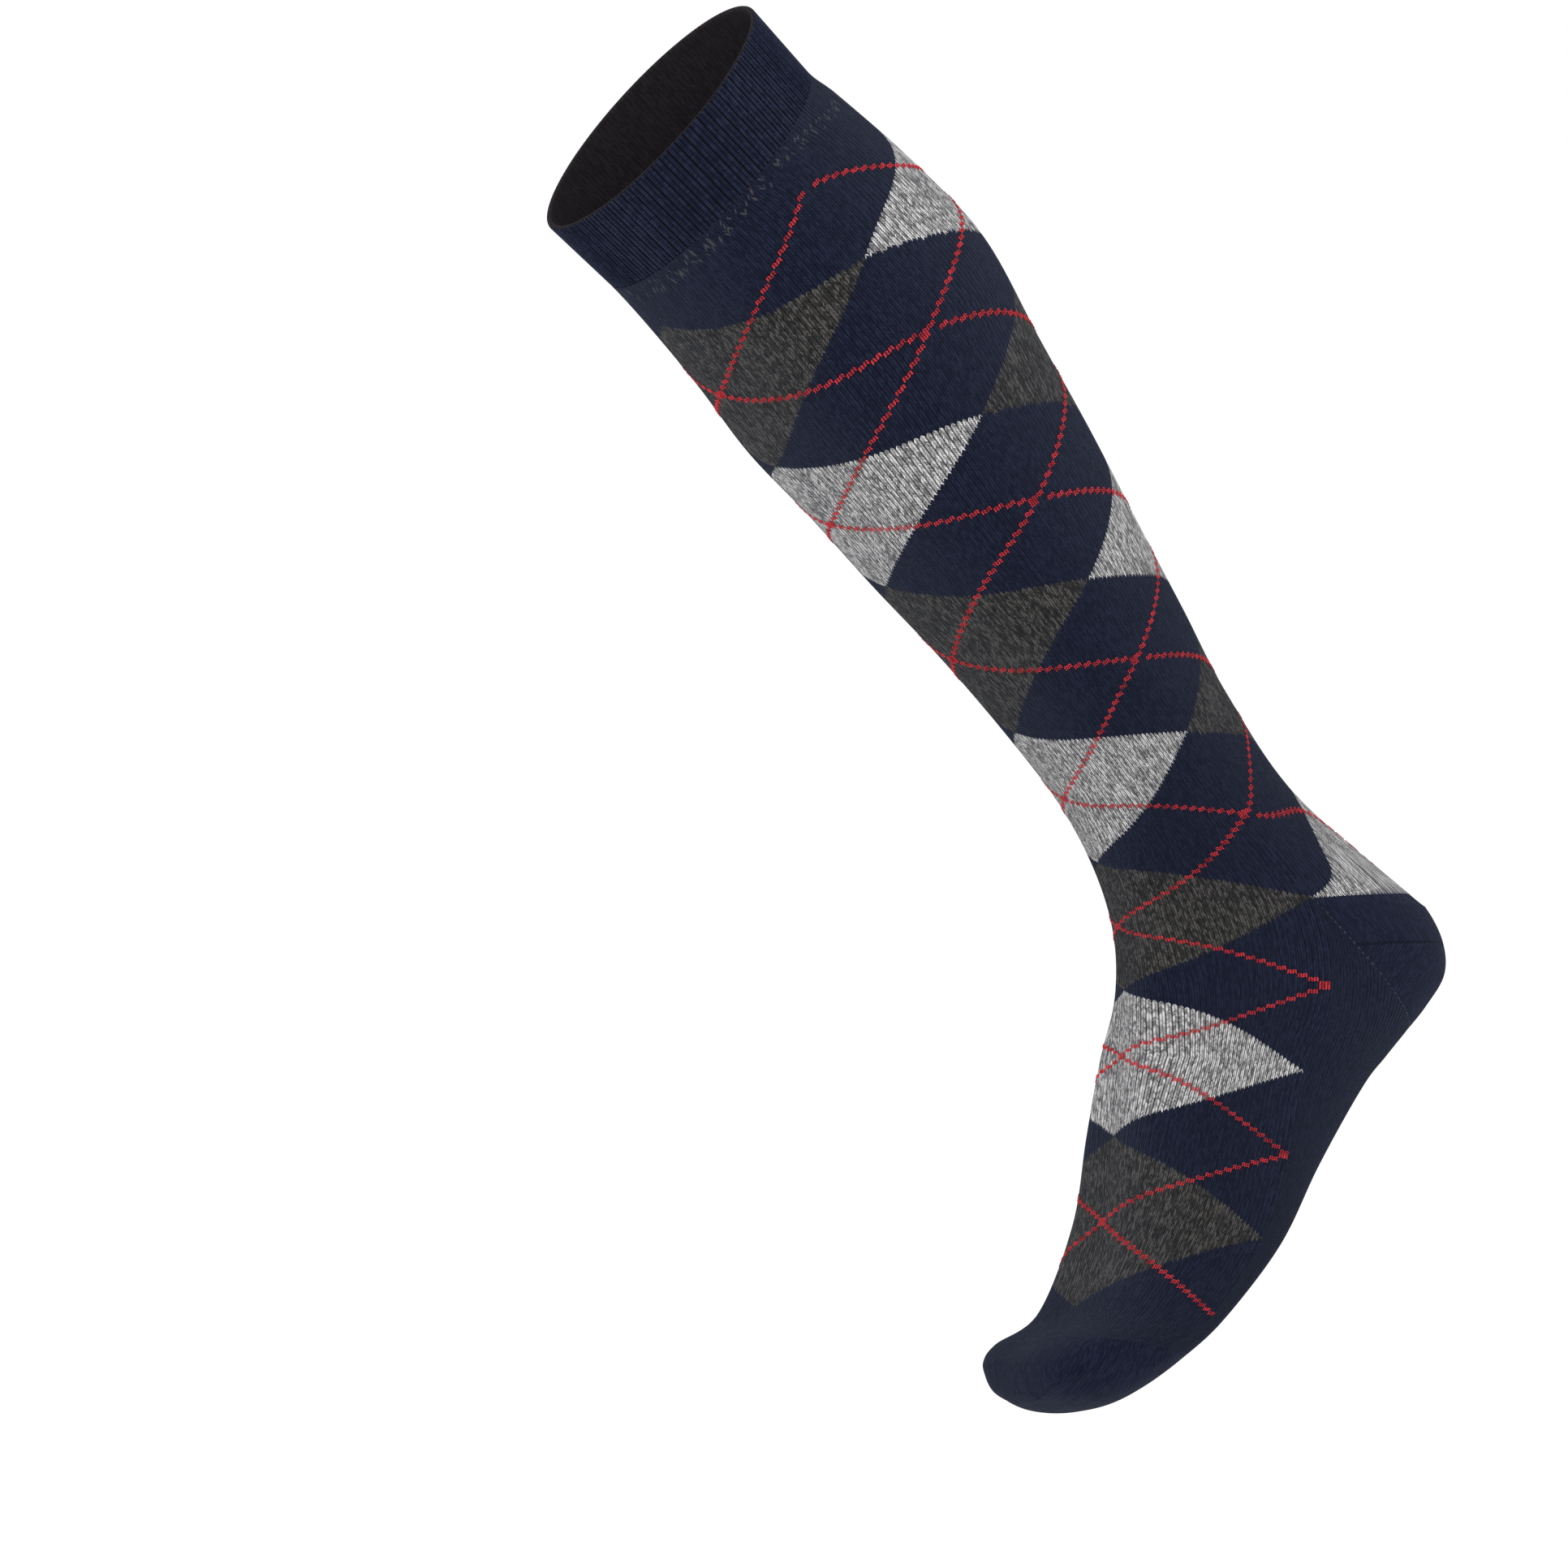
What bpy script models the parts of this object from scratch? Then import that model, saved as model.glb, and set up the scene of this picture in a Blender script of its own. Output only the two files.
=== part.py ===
"""A knitted argyle knee sock in the form that a leg gives it: ribbed cuff, leg, heel, foot and toe.

Metres, with +Z up the leg. The origin is the centre of the mouth, where the leg goes in. The toe points along -X
and the heel along +X. The leg mirrors itself across the XZ plane, and the instep is higher on its +Y side, which is
the inner side of a left foot.
"""

import math
from collections import namedtuple

import bpy
import numpy as np

# The mouth and the cuff below it, which both lean with the calf
MOUTH_WIDTH = 0.1115
MOUTH_TILT = math.radians(10)
CUFF_HEIGHT = 0.033
CUFF_LEAN = math.radians(6.5)
CUFF_END_WIDTH = 0.1085
CUFF_WALL = 0.0024
RIB_COUNT = 120
RIB_DEPTH = 0.0007

# The leg, from the mouth's centre to the underside of the heel
LEG_HEIGHT = 0.450
CALF_WIDTH = 0.118

# The foot, from the back of the heel to the tip of the toe
FOOT_LENGTH = 0.250
FOOT_WIDTH = 0.092
FOOT_HEIGHT = 0.100

# The knit, and the seam left open between two pieces
KNIT_WALL = 0.0013
SEAM_GAP = 0.0003

# Facets: columns round the sock, rows between two sections, and where the heel's corner is cut off
COLUMNS = 48
ROWS_PER_SECTION = 2
HEEL_CORNER = math.radians(91.5)

# Edges sharper than this are shaded sharp
SHARP_EDGE = math.radians(40)

# The yarns, and the mix of yarns that a piece knitted in diamonds shows from afar
KNIT_ROUGHNESS = 0.85
NAVY = (0.012, 0.018, 0.045)
LEG_MIX = (0.070, 0.070, 0.075)
FOOT_MIX = (0.040, 0.045, 0.060)

# A section is a loop through a front, a side and a back point. Fullness 2 is an ellipse, and more is boxier. The
# inner rise lifts the +Y shoulder of the loop, as a share of the way from its side to its front.
Top = namedtuple("Top", "front_x front_z side_x side_z half_width fullness inner_rise")
Under = namedtuple("Under", "back_x back_z fullness")

# Leg sections from under the cuff down to the ankle. x and half_width are shares of CALF_WIDTH, and a drop is a
# share of the stretch from the cuff's end to the top of the foot.
LegRow = namedtuple("LegRow", "name front_x front_drop side_x side_drop back_x back_drop half_width fullness")
LEG_TABLE = (
    LegRow("under the cuff", -0.407, 0.093, 0.064, 0.051, 0.530, 0.011, 0.468, 2.0),
    LegRow("top of the calf", -0.395, 0.190, 0.080, 0.161, 0.588, 0.133, 0.492, 2.0),
    LegRow("fullest calf", -0.399, 0.291, 0.093, 0.274, 0.612, 0.257, 0.503, 2.0),
    LegRow("lower calf", -0.372, 0.395, 0.080, 0.397, 0.552, 0.395, 0.460, 2.0),
    LegRow("end of the calf", -0.352, 0.506, 0.068, 0.517, 0.497, 0.524, 0.422, 2.0),
    LegRow("upper shin", -0.325, 0.619, 0.059, 0.635, 0.432, 0.650, 0.376, 2.0),
    LegRow("lower shin", -0.311, 0.732, 0.036, 0.746, 0.380, 0.757, 0.344, 2.0),
    LegRow("thinnest ankle", -0.316, 0.839, 0.030, 0.856, 0.320, 0.871, 0.314, 2.0),
    LegRow("ankle bone", -0.362, 0.924, 0.030, 0.978, 0.296, 1.019, 0.288, 2.0),
)

# Where the leg ends. From here on x is a share of FOOT_LENGTH, half_width of FOOT_WIDTH, and a rise, measured
# from the underside of the heel, of FOOT_HEIGHT.
TopRow = namedtuple("TopRow", "name front_x front_rise side_x side_rise half_width fullness inner_rise")
UnderRow = namedtuple("UnderRow", "name back_x back_rise fullness")
ANKLE_TOP = TopRow("ankle bend", -0.208, 1.010, 0.013, 0.660, 0.380, 2.1, 0.00)
ANKLE_UNDER = UnderRow("top of the heel", 0.185, 0.350, 2.1)

HEEL_TABLE = (
    UnderRow("back of the heel", 0.194, 0.255, 2.2),
    UnderRow("round of the heel", 0.179, 0.125, 2.4),
    UnderRow("lower heel", 0.146, 0.032, 2.6),
    UnderRow("under the heel", 0.090, -0.005, 2.8),
    UnderRow("end of the heel", 0.040, -0.020, 3.0),
)

FOOT_TABLE = (
    (TopRow("high instep", -0.264, 0.810, -0.051, 0.366, 0.375, 2.1, 0.07), UnderRow("arch", -0.020, -0.035, 3.0)),
    (TopRow("instep", -0.332, 0.634, -0.178, 0.200, 0.413, 2.2, 0.15), UnderRow("arch", -0.084, -0.050, 3.0)),
    (TopRow("low instep", -0.419, 0.437, -0.287, 0.015, 0.457, 2.2, 0.18), UnderRow("mid sole", -0.232, -0.145, 3.0)),
    (TopRow("ball", -0.518, 0.220, -0.408, -0.147, 0.489, 2.3, 0.18), UnderRow("ball", -0.368, -0.253, 3.0)),
    (TopRow("toe joints", -0.643, 0.050, -0.547, -0.230, 0.500, 2.4, 0.21), UnderRow("ball", -0.520, -0.315, 3.0)),
    (TopRow("toe seam", -0.720, 0.060, -0.636, -0.205, 0.495, 2.5, 0.24), UnderRow("toe seam", -0.608, -0.328, 2.8)),
)

TOE_TABLE = (
    (TopRow("toes", -0.760, 0.062, -0.692, -0.165, 0.450, 2.5, 0.20), UnderRow("toes", -0.674, -0.320, 2.7)),
    (TopRow("toes", -0.788, 0.045, -0.744, -0.130, 0.380, 2.5, 0.15), UnderRow("toes", -0.725, -0.282, 2.7)),
    (TopRow("tip", -0.804, 0.005, -0.782, -0.095, 0.280, 2.4, 0.10), UnderRow("tip", -0.766, -0.212, 2.5)),
    (TopRow("tip", -0.810, -0.035, -0.804, -0.075, 0.140, 2.2, 0.00), UnderRow("tip", -0.792, -0.130, 2.2)),
)

# Places on the chain of sections
MOUTH_ROW = 0
CUFF_END_ROW = 1
ANKLE_ROW = 2 + len(LEG_TABLE)
HEEL_END_ROW = ANKLE_ROW + len(HEEL_TABLE)
TOE_SEAM_ROW = ANKLE_ROW + len(FOOT_TABLE)
TOE_TIP_ROW = TOE_SEAM_ROW + len(TOE_TABLE)


def clear_scene():
    for obj in list(bpy.data.objects):
        bpy.data.objects.remove(obj)


def ring_section(depth, width):
    """A round section of the cuff, this far below the mouth along the cuff's leaning axis."""
    radius = width / 2
    centre_x = depth * math.sin(CUFF_LEAN)
    centre_z = -depth * math.cos(CUFF_LEAN)
    reach_x = radius * math.cos(MOUTH_TILT)
    reach_z = radius * math.sin(MOUTH_TILT)
    top = Top(centre_x - reach_x, centre_z - reach_z, centre_x, centre_z, radius, 2.0, 0.0)
    under = Under(centre_x + reach_x, centre_z + reach_z, 2.0)
    return top, under


def leg_section(row):
    """A section of the leg in metres, from its row of shares."""
    start_z = -CUFF_HEIGHT * math.cos(CUFF_LEAN)
    stretch = LEG_HEIGHT - FOOT_HEIGHT + start_z
    top = Top(
        row.front_x * CALF_WIDTH,
        start_z - row.front_drop * stretch,
        row.side_x * CALF_WIDTH,
        start_z - row.side_drop * stretch,
        row.half_width * CALF_WIDTH,
        row.fullness,
        0.0,
    )
    under = Under(row.back_x * CALF_WIDTH, start_z - row.back_drop * stretch, row.fullness)
    return top, under


def foot_top(row):
    """The upper half of a foot section in metres."""
    return Top(
        row.front_x * FOOT_LENGTH,
        row.front_rise * FOOT_HEIGHT - LEG_HEIGHT,
        row.side_x * FOOT_LENGTH,
        row.side_rise * FOOT_HEIGHT - LEG_HEIGHT,
        row.half_width * FOOT_WIDTH,
        row.fullness,
        row.inner_rise,
    )


def foot_under(row):
    """The back or under half of a heel or foot section in metres."""
    return Under(row.back_x * FOOT_LENGTH, row.back_rise * FOOT_HEIGHT - LEG_HEIGHT, row.fullness)


def section_chains():
    """Every upper half from the mouth to the toe, and every under half, which also goes round the heel."""
    rings = [ring_section(0.0, MOUTH_WIDTH), ring_section(CUFF_HEIGHT, CUFF_END_WIDTH)]
    legs = [leg_section(row) for row in LEG_TABLE]
    feet = FOOT_TABLE + TOE_TABLE
    tops = [top for top, under in rings + legs] + [foot_top(ANKLE_TOP)]
    tops += [foot_top(top) for top, under in feet]
    unders = [under for top, under in rings + legs] + [foot_under(ANKLE_UNDER)]
    unders += [foot_under(row) for row in HEEL_TABLE]
    unders += [foot_under(under) for top, under in feet]
    return np.array(tops), np.array(unders)


def spline(rows, place):
    """The smooth curve through the rows, at a place that counts rows."""
    start = min(int(place), len(rows) - 2)
    share = place - start
    before = rows[max(start - 1, 0)]
    first, last = rows[start], rows[start + 1]
    after = rows[min(start + 2, len(rows) - 1)]
    slope_in = (last - before) / 2
    slope_out = (after - first) / 2
    return (
        first * (2 * share**3 - 3 * share**2 + 1)
        + slope_in * (share**3 - 2 * share**2 + share)
        + last * (3 * share**2 - 2 * share**3)
        + slope_out * (share**3 - share**2)
    )


def loop(top, under, angles):
    """Points of one section at angles from the front, past one side, to the back."""
    top, under = Top(*top), Under(*under)
    along, across = np.cos(angles), np.sin(angles)
    in_front = along >= 0
    fullness = np.where(in_front, top.fullness, under.fullness)
    reach = (np.abs(along) ** fullness + np.abs(across) ** fullness) ** (-1 / fullness)
    end_x = np.where(in_front, top.front_x, under.back_x)
    end_z = np.where(in_front, top.front_z, under.back_z)
    on_inner_shoulder = in_front & (across < 0)
    rise = np.where(on_inner_shoulder, top.inner_rise * (2 * along * across) ** 2, 0.0)
    height = reach * np.abs(along) + rise
    points = np.empty((len(angles), 3))
    points[:, 0] = top.side_x + (end_x - top.side_x) * height
    points[:, 1] = -top.half_width * reach * across
    points[:, 2] = top.side_z + (end_z - top.side_z) * height
    return points


def places(first, last):
    """Rows of the mesh between two rows of the chain."""
    return np.linspace(first, last, (last - first) * ROWS_PER_SECTION + 1)


def unit(vectors):
    return vectors / np.linalg.norm(vectors, axis=-1, keepdims=True)


def normals_of(grid, closed):
    """Outward normals of a grid of rows of points, whose rows are closed loops or open arcs."""
    down = np.gradient(grid, axis=0)
    if closed:
        round_it = np.roll(grid, -1, axis=1) - np.roll(grid, 1, axis=1)
    else:
        round_it = np.gradient(grid, axis=1)
    return unit(np.cross(down, round_it))


def drops_of(grid):
    """Unit directions along the sock, from each row towards the next."""
    return unit(np.gradient(grid, axis=0))


def tube(chains, angles, top_rows, under_rows):
    """Rows of loops along a stretch of the sock."""
    tops, unders = chains
    return np.array(
        [loop(spline(tops, at), spline(unders, under_at), angles) for at, under_at in zip(top_rows, under_rows)]
    )


def pocket(chains, angles):
    """Rows of arcs round the heel, which all spring from the two side points of the ankle."""
    tops, unders = chains
    rows = places(ANKLE_ROW, HEEL_END_ROW)
    return np.array([loop(tops[ANKLE_ROW], spline(unders, at), angles) for at in rows])


def add_skin(faces, rows, columns, offset, closed, outward):
    """Quads over a grid of points that starts at this offset in the list of points."""
    last = columns if closed else columns - 1
    for row in range(rows - 1):
        for column in range(last):
            following = (column + 1) % columns
            quad = [
                offset + row * columns + column,
                offset + (row + 1) * columns + column,
                offset + (row + 1) * columns + following,
                offset + row * columns + following,
            ]
            faces.append(quad if outward else quad[::-1])


def add_rim(faces, outer, inner, closed, flip):
    """Quads that join an edge of the outer skin to the same edge of the inner one."""
    last = len(outer) if closed else len(outer) - 1
    for index in range(last):
        following = (index + 1) % len(outer)
        quad = [outer[index], outer[following], inner[following], inner[index]]
        faces.append(quad[::-1] if flip else quad)


def knit_shell(outer, normals, wall, closed, capped):
    """A knit wall: the outer skin, an inner skin one wall inside it, and the rims that join them."""
    rows, columns = outer.shape[:2]
    inner = outer - normals * wall
    points = [*outer.reshape(-1, 3), *inner.reshape(-1, 3)]
    count = rows * columns
    faces = []
    add_skin(faces, rows, columns, 0, closed, True)
    add_skin(faces, rows, columns, count, closed, False)
    first = list(range(columns))
    final = [(rows - 1) * columns + column for column in range(columns)]
    add_rim(faces, first, [count + index for index in first], closed, False)
    if capped:
        close_tip(points, faces, final, count, normals, wall)
    else:
        add_rim(faces, final, [count + index for index in final], closed, True)
    if not closed:
        left = [row * columns for row in range(rows)]
        right = [row * columns + columns - 1 for row in range(rows)]
        add_rim(faces, left, [count + index for index in left], False, True)
        add_rim(faces, right, [count + index for index in right], False, False)
    return points, faces


def close_tip(points, faces, final, count, normals, wall):
    """A fan over the last loop of the outer skin, and one over that of the inner skin."""
    outer_tip = np.mean([points[index] for index in final], axis=0)
    forward = unit(normals[-1].mean(axis=0))
    points.append(outer_tip)
    points.append(outer_tip - forward * wall)
    tip = len(points) - 2
    for position, index in enumerate(final):
        following = final[(position + 1) % len(final)]
        faces.append([following, index, tip])
        faces.append([count + index, count + following, tip + 1])


def cuff_shell(chains, wall):
    """The double cuff: a ring whose outside stands in upright ribs, with a rounded rim at the mouth."""
    columns = 2 * RIB_COUNT
    angles = np.arange(columns) * 2 * math.pi / columns
    tops, unders = chains
    mouth = loop(tops[MOUTH_ROW], unders[MOUTH_ROW], angles)
    end = loop(tops[CUFF_END_ROW], unders[CUFF_END_ROW], angles)
    axis = unit(end.mean(axis=0) - mouth.mean(axis=0))
    inward = unit(mouth.mean(axis=0) - mouth)
    grooves = inward * RIB_DEPTH * (np.arange(columns) % 2)[:, None]
    rounding = wall / 2
    end_edge = end - axis * SEAM_GAP / 2
    rings = (
        end_edge + grooves,
        mouth + axis * rounding + grooves,
        mouth + inward * rounding,
        mouth + axis * rounding + inward * wall,
        end_edge + inward * wall,
    )
    points = [point for ring in rings for point in ring]
    faces = []
    for ring in range(len(rings)):
        following_ring = (ring + 1) % len(rings)
        for column in range(columns):
            following = (column + 1) % columns
            faces.append(
                [
                    ring * columns + column,
                    ring * columns + following,
                    following_ring * columns + following,
                    following_ring * columns + column,
                ]
            )
    return points, faces


def knit_material(name, colour):
    material = bpy.data.materials.new(name)
    material.use_nodes = True
    shader = material.node_tree.nodes["Principled BSDF"]
    shader.inputs["Base Color"].default_value = (*colour, 1.0)
    shader.inputs["Roughness"].default_value = KNIT_ROUGHNESS
    shader.inputs["Metallic"].default_value = 0.0
    return material


def add_piece(name, points, faces, colour):
    mesh = bpy.data.meshes.new(name)
    mesh.from_pydata([tuple(point) for point in points], [], faces)
    mesh.materials.append(knit_material(name + "_knit", colour))
    mesh.shade_smooth()
    mesh.set_sharp_from_angle(angle=SHARP_EDGE)
    mesh.validate()
    piece = bpy.data.objects.new(name, mesh)
    bpy.context.scene.collection.objects.link(piece)
    return piece


def share_seam(first_normals, first_drops, second_normals, second_drops):
    """One normal and one direction for both sides of a seam, so that their walls end face to face."""
    return unit(first_normals + second_normals), unit(first_drops + second_drops)


def build():
    clear_scene()
    chains = section_chains()
    angles = np.arange(COLUMNS) * 2 * math.pi / COLUMNS
    behind = np.arange(COLUMNS // 4, 3 * COLUMNS // 4 + 1)
    heel_angles = np.array([HEEL_CORNER, *angles[behind[1:-1]], 2 * math.pi - HEEL_CORNER])

    leg_rows = places(CUFF_END_ROW, ANKLE_ROW)
    foot_rows = places(ANKLE_ROW, TOE_SEAM_ROW)
    toe_rows = places(TOE_SEAM_ROW, TOE_TIP_ROW)
    past_heel = len(HEEL_TABLE)
    leg = tube(chains, angles, leg_rows, leg_rows)
    foot = tube(chains, angles, foot_rows, foot_rows + past_heel)
    toe = tube(chains, angles, toe_rows, toe_rows + past_heel)
    heel = pocket(chains, heel_angles)

    leg_normals, leg_drops = normals_of(leg, True), drops_of(leg)
    foot_normals, foot_drops = normals_of(foot, True), drops_of(foot)
    toe_normals, toe_drops = normals_of(toe, True), drops_of(toe)
    heel_normals, heel_drops = normals_of(heel, False), drops_of(heel)

    half_gap = SEAM_GAP / 2

    # The ankle seam: the leg meets the foot in front and the heel behind
    ankle_normals, ankle_drops = share_seam(leg_normals[-1], leg_drops[-1], foot_normals[0], foot_drops[0])
    back_normals, back_drops = share_seam(
        leg_normals[-1, behind[1:-1]], leg_drops[-1, behind[1:-1]], heel_normals[0, 1:-1], heel_drops[0, 1:-1]
    )
    leg_end_normals, leg_end_drops = ankle_normals.copy(), ankle_drops.copy()
    leg_end_normals[behind[1:-1]] = back_normals
    leg_end_drops[behind[1:-1]] = back_drops

    # The sole seam: the heel's last arc meets the foot's first loop
    sole_normals, sole_drops = share_seam(
        heel_normals[-1, 1:-1], heel_drops[-1, 1:-1], foot_normals[0, behind[1:-1]], foot_drops[0, behind[1:-1]]
    )
    foot_start_normals, foot_start_drops = ankle_normals.copy(), ankle_drops.copy()
    foot_start_normals[behind[1:-1]] = sole_normals
    foot_start_drops[behind[1:-1]] = sole_drops

    # The toe seam
    seam_normals, seam_drops = share_seam(foot_normals[-1], foot_drops[-1], toe_normals[0], toe_drops[0])

    leg_normals[-1] = leg_end_normals
    heel_normals[0, 1:-1] = back_normals
    heel_normals[-1, 1:-1] = sole_normals
    foot_normals[0] = foot_start_normals
    foot_normals[-1] = seam_normals
    toe_normals[0] = seam_normals

    leg[0] += leg_drops[0] * half_gap
    leg[-1] -= leg_end_drops * half_gap
    heel[0] += heel_drops[0] * half_gap
    heel[-1] -= heel_drops[-1] * half_gap
    foot[0] += foot_start_drops * half_gap
    foot[-1] -= seam_drops * half_gap
    toe[0] += seam_drops * half_gap

    add_piece("cuff", *cuff_shell(chains, CUFF_WALL), NAVY)
    add_piece("leg", *knit_shell(leg, leg_normals, KNIT_WALL, True, False), LEG_MIX)
    add_piece("heel", *knit_shell(heel, heel_normals, KNIT_WALL, False, False), NAVY)
    add_piece("foot", *knit_shell(foot, foot_normals, KNIT_WALL, True, False), FOOT_MIX)
    add_piece("toe", *knit_shell(toe, toe_normals, KNIT_WALL, True, True), NAVY)


build()
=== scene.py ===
# %% [markdown]
# # An argyle knee sock, knitted stitch by stitch
# The sock stands in its worn form: a ribbed cuff, a leg and an instep in diamonds, and a plain heel, sole
# and toe. It is a single tube of loops, so everything here hangs on two numbers that every point of the
# knit has: its wale, which counts stitches round the sock, and its course, which counts rows from the mouth
# down.

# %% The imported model
import math

import bpy
import numpy as np
from mathutils import Matrix, Vector


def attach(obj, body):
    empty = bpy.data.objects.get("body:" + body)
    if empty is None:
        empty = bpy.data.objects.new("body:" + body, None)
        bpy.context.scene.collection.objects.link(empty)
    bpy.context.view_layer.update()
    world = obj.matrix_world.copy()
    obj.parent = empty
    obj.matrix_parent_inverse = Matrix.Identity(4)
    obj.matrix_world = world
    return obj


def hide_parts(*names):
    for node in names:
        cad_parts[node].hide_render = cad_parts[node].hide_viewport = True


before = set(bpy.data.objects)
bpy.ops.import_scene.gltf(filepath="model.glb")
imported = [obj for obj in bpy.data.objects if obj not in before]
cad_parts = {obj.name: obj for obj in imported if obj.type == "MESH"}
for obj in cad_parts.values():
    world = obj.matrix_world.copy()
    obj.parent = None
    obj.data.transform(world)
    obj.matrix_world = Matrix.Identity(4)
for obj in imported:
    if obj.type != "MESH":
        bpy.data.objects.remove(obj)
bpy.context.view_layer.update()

# %% [markdown]
# ## The form
# The sock's form is a chain of sections. Each one is a loop through a front, a side and a back point, and
# its fullness says how boxy it is: 2 is an ellipse. Nearly the same numbers make the solids of the packed
# model, so the knit lies where they lie. The heel has sections of its own, whose front stays at the bend of
# the ankle while their back goes round the heel.

# %% Sections
MOUTH_WIDTH, MOUTH_TILT = 0.1115, math.radians(10)
CUFF_HEIGHT, CUFF_LEAN, CUFF_END_WIDTH = 0.033, math.radians(6.5), 0.1085
LEG_HEIGHT, CALF_WIDTH = 0.450, 0.118
FOOT_LENGTH, FOOT_WIDTH, FOOT_HEIGHT = 0.250, 0.092, 0.100
KNIT_WALL = 0.0013
CUFF_WALL = 0.0024

# Leg: front x and drop, side x and drop, back x and drop, half width, fullness
LEG = (
    (-0.407, 0.093, 0.064, 0.051, 0.514, 0.011, 0.468, 2.0),
    (-0.395, 0.190, 0.080, 0.161, 0.579, 0.133, 0.492, 2.0),
    (-0.399, 0.291, 0.093, 0.274, 0.612, 0.257, 0.503, 2.0),
    (-0.372, 0.395, 0.080, 0.397, 0.552, 0.395, 0.460, 2.0),
    (-0.352, 0.506, 0.068, 0.517, 0.497, 0.524, 0.422, 2.0),
    (-0.325, 0.619, 0.059, 0.635, 0.432, 0.650, 0.376, 2.0),
    (-0.311, 0.732, 0.036, 0.746, 0.380, 0.757, 0.344, 2.0),
    (-0.316, 0.839, 0.030, 0.856, 0.320, 0.871, 0.314, 2.0),
    (-0.362, 0.924, 0.030, 0.978, 0.296, 1.019, 0.288, 2.0),
)
# Upper halves from the ankle to the toe: front x and rise, side x and rise, half width, fullness, inner rise
UPPER = (
    (-0.208, 1.010, 0.013, 0.660, 0.380, 2.1, 0.00),
    (-0.264, 0.810, -0.051, 0.366, 0.375, 2.1, 0.07),
    (-0.332, 0.634, -0.178, 0.200, 0.413, 2.2, 0.15),
    (-0.419, 0.437, -0.287, 0.015, 0.457, 2.2, 0.18),
    (-0.518, 0.220, -0.408, -0.147, 0.489, 2.3, 0.18),
    (-0.643, 0.050, -0.547, -0.230, 0.500, 2.4, 0.21),
    (-0.726, 0.064, -0.636, -0.205, 0.495, 2.5, 0.24),
    (-0.765, 0.066, -0.692, -0.165, 0.450, 2.5, 0.20),
    (-0.785, 0.045, -0.742, -0.130, 0.380, 2.5, 0.15),
    (-0.800, 0.005, -0.778, -0.095, 0.280, 2.4, 0.10),
    (-0.804, -0.035, -0.798, -0.075, 0.140, 2.2, 0.00),
)
# Under halves from the ankle round the heel and along the sole: back x and rise, fullness
UNDER = (
    (0.188, 0.350, 2.1),
    (0.194, 0.255, 2.2),
    (0.179, 0.125, 2.4),
    (0.146, 0.032, 2.6),
    (0.090, -0.005, 2.8),
    (0.040, -0.020, 3.0),
    (-0.020, -0.035, 3.0),
    (-0.084, -0.050, 3.0),
    (-0.232, -0.145, 3.0),
    (-0.368, -0.253, 3.0),
    (-0.520, -0.306, 3.0),
    (-0.608, -0.318, 2.8),
    (-0.674, -0.311, 2.7),
    (-0.725, -0.277, 2.7),
    (-0.765, -0.202, 2.5),
    (-0.788, -0.120, 2.2),
)


def cuff_section(depth, width):
    """Upper and under half of a round section this far down the cuff."""
    radius = width / 2
    x, z = depth * math.sin(CUFF_LEAN), -depth * math.cos(CUFF_LEAN)
    out_x, out_z = radius * math.cos(MOUTH_TILT), radius * math.sin(MOUTH_TILT)
    return (x - out_x, z - out_z, x, z, radius, 2.0, 0.0), (x + out_x, z + out_z, 2.0)


def leg_section(row):
    """Upper and under half of a leg section in metres."""
    start = -CUFF_HEIGHT * math.cos(CUFF_LEAN)
    stretch = LEG_HEIGHT - FOOT_HEIGHT + start
    front_x, front, side_x, side, back_x, back, half_width, fullness = row
    front, side, back = (start - drop * stretch for drop in (front, side, back))
    front_x, side_x, back_x, half = (share * CALF_WIDTH for share in (front_x, side_x, back_x, half_width))
    return (front_x, front, side_x, side, half, fullness, 0.0), (back_x, back, fullness)


def foot_z(rise):
    return rise * FOOT_HEIGHT - LEG_HEIGHT


halves = [cuff_section(0.0, MOUTH_WIDTH), cuff_section(CUFF_HEIGHT, CUFF_END_WIDTH), *map(leg_section, LEG)]
uppers = [upper for upper, under in halves]
uppers += [
    (fx * FOOT_LENGTH, foot_z(fr), sx * FOOT_LENGTH, foot_z(sr), half_width * FOOT_WIDTH, fullness, inner)
    for fx, fr, sx, sr, half_width, fullness, inner in UPPER
]
unders = [under for upper, under in halves]
unders += [(x * FOOT_LENGTH, foot_z(rise), fullness) for x, rise, fullness in UNDER]
uppers, unders = np.array(uppers), np.array(unders)

# Places on the chain of upper halves. On the foot, the chain of under halves runs PAST_HEEL places ahead.
MOUTH, CUFF_END, ANKLE, TOE_SEAM, TIP = 0, 1, 11, 17, 21
PAST_HEEL = 5
print(len(uppers), "upper halves and", len(unders), "under halves")

# %% [markdown]
# Between two sections the form follows a smooth curve through its neighbours too, so a wall of any number
# of rows can be drawn from the same few sections. A loop is drawn as a superellipse in polar form. The
# inner rise lifts one shoulder of the instep, so this is the left sock of a pair.

# %% Smooth walls from the sections
CUFF_KNOTS = (0.66, 1.54)  # the two sections of the cuff lie closer than those of the leg
KNOTS = np.array([*CUFF_KNOTS, *range(len(CUFF_KNOTS), len(unders))])


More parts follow.
